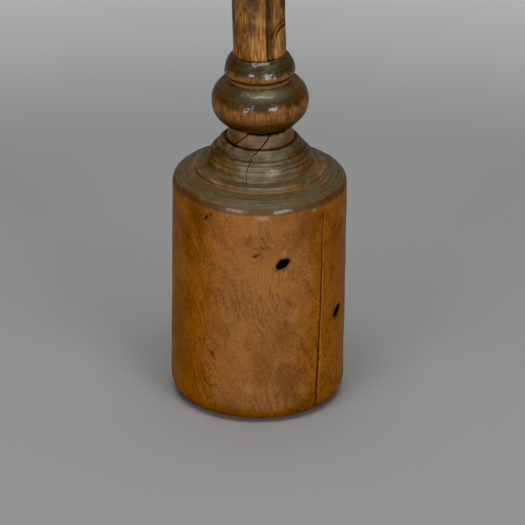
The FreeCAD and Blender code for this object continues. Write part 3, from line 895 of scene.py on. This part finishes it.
def wood(name, light, deep, patina_tint, pale_and_highlight_tint, pith, ring_width, run, thread, swirl, streak,
         fibre, fineness, blotch, stain, ruddy, roughness, gloss, painted_sheen, haze):
    """Old waxed wood: growth rings around its pith, streaks along the grain, mottling, pores,
    patina where dust settles, dirt and painted shade, worn edges, pale places and painted
    highlights, and black cracks painted as shade. run squeezes the grain's length, swirl bends
    it, fibre is the contrast of its fine lines, painted_sheen the paleness of a sheen painted
    where the wood is seen face on and haze the roughness of its shine."""
    shade = Shader(bpy.data.materials.new(name))
    place, noise, span, mark = shade.place, shade.noise, shade.span, shade.mark
    mix, times, plus, most = shade.mix, shade.times, shade.plus, shade.most
    grain = shade.warp(place((1.0, 1.0, run), pith, (0.0, 0.0, 0.4)), 0.035, swirl)
    fine_grain = shade.warp(place((1.0, 1.0, thread)), 0.06, 0.45 * swirl)
    plain = place((1.0, 1.0, 1.0))

    rings = shade.math("SINE", times(shade.length(grain), 2 * np.pi / ring_width))
    rings = span(rings, -0.2, 1.0)

    streaks = noise(grain, 0.9, 5.0, 0.62, 0.4)
    fibres = noise(fine_grain, fineness, 4.0, 0.62)
    clouds = noise(plain, blotch, 4.0, 0.58, 0.8)
    mottle = noise(place((1.0, 1.0, 0.55)), 0.30, 4.0, 0.62, 0.5)
    speckle = noise(plain, 1.7, 3.0, 0.6)
    pores = span(noise(place((2.4, 2.4, 0.6)), 1.0, 1.0), 0.71, 0.78)

    # bare wood: how deep its colour is, how ruddy it is, and its pores and small stained places
    depth = times(rings, span(clouds, 0.38, 0.62, 0.06, 0.30))
    for value, low, high, faint, strong in (
            (streaks, 0.30, 0.72, 0.0, streak), (clouds, 0.32, 0.70, 0.0, 0.23),
            (mottle, 0.32, 0.70, -0.04, 0.22), (fibres, 0.30, 0.70, -fibre, fibre + 0.06),
            (speckle, 0.3, 0.7, -0.13, 0.15)):
        depth = plus(depth, span(value, low, high, faint, strong))
    warmth = noise(place((0.11, 0.11, 0.05), (3.0, 1.0, 7.0)), 1.0, 3.0, 0.6)
    base = mix(span(warmth, 0.40, 0.62, 0.0, ruddy), light, scaled(light, RUDDIER))
    colour = mix(depth, base, deep)
    colour = mix(times(pores, 0.6), colour, scaled(deep, 0.22))
    stains = span(noise(place((0.16, 0.16, 0.10)), 1.0, 5.0, 0.7), 0.64, 0.80)
    colour = mix(times(stains, stain), colour, scaled(deep, 0.40))

    # patina, with the fine lines left by turning and brushing
    patina = mark("patina")
    where = shade.node("ShaderNodeSeparateXYZ", (), {0: plain}).outputs
    around_line = shade.node("ShaderNodeCombineXYZ", (), {
        "X": times(mark("along"), 2.3), "Y": times(where["X"], 0.045),
        "Z": times(where["Y"], 0.045)}).outputs[0]
    brushed = noise(around_line, 1.0, 4.0, 0.65)
    dust = span(brushed, 0.32, 0.68)
    dust = plus(times(dust, 0.68), span(mottle, 0.30, 0.68, 0.0, 0.30))
    dust = plus(dust, span(speckle, 0.32, 0.68, -0.16, 0.28))
    patina_colour = mix(dust, scaled(patina_tint, 0.42), scaled(patina_tint, DUSTIER))
    cover = times(patina, span(mottle, 0.2, 0.55, 0.78, 0.97))
    colour = mix(cover, colour, patina_colour)

    # worn and pale places, some pale ones painted highlights; darker smudges and dirt, partly
    # painted shade
    colour = mix(times(mark("wear"), 0.5), colour, scaled(light, 1.25))
    colour = mix(mark("pale"), colour, pale_and_highlight_tint)
    colour = mix(mark("smudge_and_shade"), colour, scaled(deep, 0.62))
    grime_and_shade = mark("grime_and_shade")
    colour = mix(times(grime_and_shade, 0.85), colour, scaled(patina_tint, 0.30))

    # painted sheen: a faint pale reflection added to the colour where the wood is seen face on
    facing = shade.node("ShaderNodeLayerWeight", (), {"Blend": 0.5}).outputs["Facing"]
    dull = most(grime_and_shade, times(patina, 0.40))
    dull = most(dull, times(mark("smudge_and_shade"), 0.8))
    bare = shade.math("SUBTRACT", 1.0, dull)
    sheen_share = times(span(facing, 0.08, 0.40, 1.0, 0.0), bare)
    colour = mix(sheen_share, colour, scaled(SHEEN_TINT, painted_sheen), "ADD")

    # knot holes and cracks, painted black as shade, with a darker ring around each hole
    black = most(mark("dark"), span(mark("hole"), 0.93, 1.12))
    around_hole = span(mark("hole"), 0.35, 0.95, 0.0, 0.45)
    colour = mix(around_hole, colour, scaled(deep, 0.25))
    colour = mix(black, colour, CRACK_BLACK)

    # shine, from the wood itself and from the wax on it
    rough = span(streaks, 0.3, 0.7, roughness - 0.05, roughness + 0.06)
    rough = plus(rough, times(black, 0.35))
    waxed = times(mark("polish"), span(speckle, 0.30, 0.65, 0.95, 0.45))
    waxed = times(waxed, span(facing, 0.30, 0.75, 1.0, 0.08))
    waxed = times(waxed, shade.math("SUBTRACT", 1.0, black))
    height = times(fibres, 0.30)
    for value, share in ((speckle, 0.22), (streaks, 0.35), (pores, -0.5),
                         (times(brushed, patina), 0.7)):
        height = plus(height, times(value, share))
    bump = shade.node("ShaderNodeBump", (), {"Height": height, "Strength": 0.4,
                                             "Distance": 0.25 * MM})
    return shade.finish("Principled BSDF", {
        "Base Color": colour, "Roughness": rough, "Specular IOR Level": gloss,
        "Coat Roughness": haze, "Coat Weight": waxed, "Normal": bump.outputs["Normal"]})


# ---- the pieces

head = build_head()
collar = build_collar()
shaft = build_shaft()
tenon = build_tenon()

head_wood = wood(
    "head_waxed", light=(0.388, 0.143, 0.024), deep=(0.168, 0.057, 0.008),
    patina_tint=(0.096, 0.075, 0.041), pale_and_highlight_tint=(0.43, 0.38, 0.27),
    pith=(21.0, -16.0, 4.0), ring_width=1.7, run=0.36, thread=0.32, swirl=21.0,
    streak=0.13, fibre=0.48, fineness=2.6, blotch=0.075, stain=0.25, ruddy=0.35,
    roughness=0.46, gloss=0.10, painted_sheen=0.034, haze=0.25)
collar_wood = wood(
    "collar_waxed", light=(0.32, 0.129, 0.023), deep=(0.11, 0.039, 0.006),
    patina_tint=(0.040, 0.030, 0.014), pale_and_highlight_tint=(0.17, 0.145, 0.085),
    pith=(9.0, 5.0, 0.0), ring_width=2.6, run=0.10, thread=0.20, swirl=9.0,
    streak=0.34, fibre=0.38, fineness=1.6, blotch=0.13, stain=0.5, ruddy=0.3,
    roughness=0.34, gloss=0.12, painted_sheen=0.014, haze=0.19)
handle_wood = wood(
    "handle_waxed", light=(0.48, 0.225, 0.050), deep=(0.13, 0.046, 0.008),
    patina_tint=(0.036, 0.023, 0.015), pale_and_highlight_tint=(0.40, 0.28, 0.16),
    pith=(1.5, 2.0, 0.0), ring_width=1.8, run=0.055, thread=0.10, swirl=7.0,
    streak=0.56, fibre=0.80, fineness=1.8, blotch=0.16, stain=0.6, ruddy=0.9,
    roughness=0.42, gloss=0.10, painted_sheen=0.020, haze=0.22)

for piece, node, material in ((head, "head", head_wood), (collar, "collar", collar_wood),
                              (shaft, "handle", handle_wood), (tenon, "handle", handle_wood)):
    piece.data.materials.append(material)
    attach(piece, "root")
    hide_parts(node)


# ---- floor, lights and camera

# Distances are in metres from here on. The camera's offsets to the right and down, its sensor
# and lens, and the distances from the middle over which the floor's painted light fades in stay
# in millimetres.
TARGET = Vector((0.0, 0.0, 60.0)) * MM
CAMERA = dict(elevation=25.0, roll=0.767, distance=2.0, right=1.48, down=4.08,
              sensor=36.0, lens=339.7, far=50.0)
FLOOR_REACH = 9.0
PAINTED_FLOOR_LIGHT = (240.0, 500.0)
WALL = dict(radius=6.0, foot=-0.01, top=5.0, sides=64, glow=0.26)

# Soft lights: name, azimuth, elevation, distance, width, height, power and colour.
SOFTBOXES = (
    ("front_left", -29, 12, 2.3, 0.80, 0.50, 12.5, (1.0, 0.96, 0.95)),
    ("front_right", 30, 12, 2.3, 0.80, 0.50, 15.5, (0.95, 0.98, 1.0)),
    ("overhead", 0, 75, 2.0, 1.45, 0.5, 16.0, (1.0, 1.0, 1.0)),
    ("ceiling", 0, 104, 2.0, 1.2, 1.0, 3.5, (1.0, 1.0, 0.97)),
)

# The room's own light: the axis it changes along, from where to where, and how dim and bright.
ROOM_LIGHT = (("Z", 0.1, 0.95, 0.05, 0.22), ("Y", 0.2, 0.9, 0.0, 0.26))
BLACK_LEVEL = 0.014


def stage_piece(name, vertices, faces, material):
    """Makes a piece that belongs to the stage and not to the muddler."""
    mesh = bpy.data.meshes.new(name)
    mesh.from_pydata(vertices, [], faces)
    mesh.materials.append(material)
    piece = put_in_scene(name, mesh)
    return piece


def build_floor():
    """One large plain grey sheet that the muddler stands on, with painted light that makes it
    paler away from it.
    """
    shade = Shader(bpy.data.materials.new("floor_paper"))
    tone = shade.noise(shade.place((0.004, 0.004, 0.004)), 1.0, 2.0)
    colour = shade.mix(tone, (0.378, 0.382, 0.384), (0.406, 0.410, 0.412))
    away = shade.length(shade.place((1.0, 1.0, 1.0)))
    # painted light: paler further out, where the lamps light the floor less
    colour = shade.mix(shade.span(away, *PAINTED_FLOOR_LIGHT), colour, (0.72, 0.725, 0.73))
    paper = shade.finish("Principled BSDF", {"Base Color": colour, "Roughness": 0.9,
                                             "Specular IOR Level": 0.2})
    corners = [(x * FLOOR_REACH, y * FLOOR_REACH, 0)
               for x, y in ((-1, -1), (1, -1), (1, 1), (-1, 1))]
    stage_piece("floor", corners, [(0, 1, 2, 3)], paper)


def build_backdrop():
    """A plain wall far around, only there so that level views have something pale behind."""
    paper = Shader(bpy.data.materials.new("backdrop_paper")).finish("Principled BSDF", {
        "Base Color": (0, 0, 0), "Emission Color": (1, 1, 1), "Emission Strength": WALL["glow"]})
    radius, sides = WALL["radius"], WALL["sides"]
    turn = np.linspace(0, 2 * np.pi, sides, endpoint=False)
    ring = [(radius * np.cos(t), radius * np.sin(t), z)
            for z in (WALL["foot"], WALL["top"]) for t in turn]
    faces = [((i + 1) % sides, i, i + sides, (i + 1) % sides + sides) for i in range(sides)]
    backdrop = stage_piece("backdrop", ring, faces, paper)
    backdrop.visible_diffuse = backdrop.visible_glossy = backdrop.visible_shadow = False


def softbox(name, azimuth, elevation, distance, width, height, power, colour):
    """An area light that faces the muddler. Azimuth 0 is in front of it."""
    turn, rise = np.radians(azimuth), np.radians(elevation)
    away = Vector((np.sin(turn) * np.cos(rise), -np.cos(turn) * np.cos(rise), np.sin(rise)))
    lamp = bpy.data.lights.new(name, "AREA")
    lamp.shape = "RECTANGLE"
    lamp.size, lamp.size_y = width, height
    lamp.energy = power
    lamp.color = colour
    box = put_in_scene(name, lamp)
    box.location = TARGET + away * distance
    box.rotation_euler = away.to_track_quat("Z", "Y").to_euler()


def build_camera():
    """A long lens above the floor, rolled a little, aimed a little aside."""
    rise, roll = np.radians(CAMERA["elevation"]), np.radians(CAMERA["roll"])
    level, steep = Vector((1, 0, 0)), Vector((0, np.sin(rise), np.cos(rise)))
    right = level * np.cos(roll) + steep * np.sin(roll)
    upwards = steep * np.cos(roll) - level * np.sin(roll)
    back = Vector((0, -np.cos(rise), np.sin(rise)))
    data = bpy.data.cameras.new("camera")
    data.sensor_width, data.lens, data.clip_end = CAMERA["sensor"], CAMERA["lens"], CAMERA["far"]
    camera = put_in_scene("camera", data)
    place = TARGET + back * CAMERA["distance"]
    place = place + right * CAMERA["right"] * MM - upwards * CAMERA["down"] * MM
    turned = Matrix((right, upwards, back)).transposed().to_4x4()
    camera.matrix_world = Matrix.Translation(place) @ turned
    bpy.context.scene.camera = camera


def build_room():
    """The soft light of the room: a pale ceiling and wall behind, darker low at the sides."""
    shade = Shader(bpy.data.worlds.new("studio"))
    heading = shade.node("ShaderNodeTexCoord").outputs["Generated"]
    axes = shade.node("ShaderNodeSeparateXYZ", (), {0: heading}).outputs
    strengths = [shade.node("ShaderNodeMapRange", (), {
        "Value": axes[axis], "From Min": low, "From Max": high, "To Min": dim,
        "To Max": bright}).outputs["Result"] for axis, low, high, dim, bright in ROOM_LIGHT]
    bpy.context.scene.world = shade.finish("Background", {
        "Color": (1.0, 1.0, 1.0), "Strength": shade.plus(*strengths)})


build_floor()
build_backdrop()
for light in SOFTBOXES:
    softbox(*light)
build_camera()
build_room()

view = bpy.context.scene.view_settings
view.view_transform = "Standard"
view.use_curve_mapping = True
view.curve_mapping.black_level = (BLACK_LEVEL,) * 3
view.curve_mapping.update()
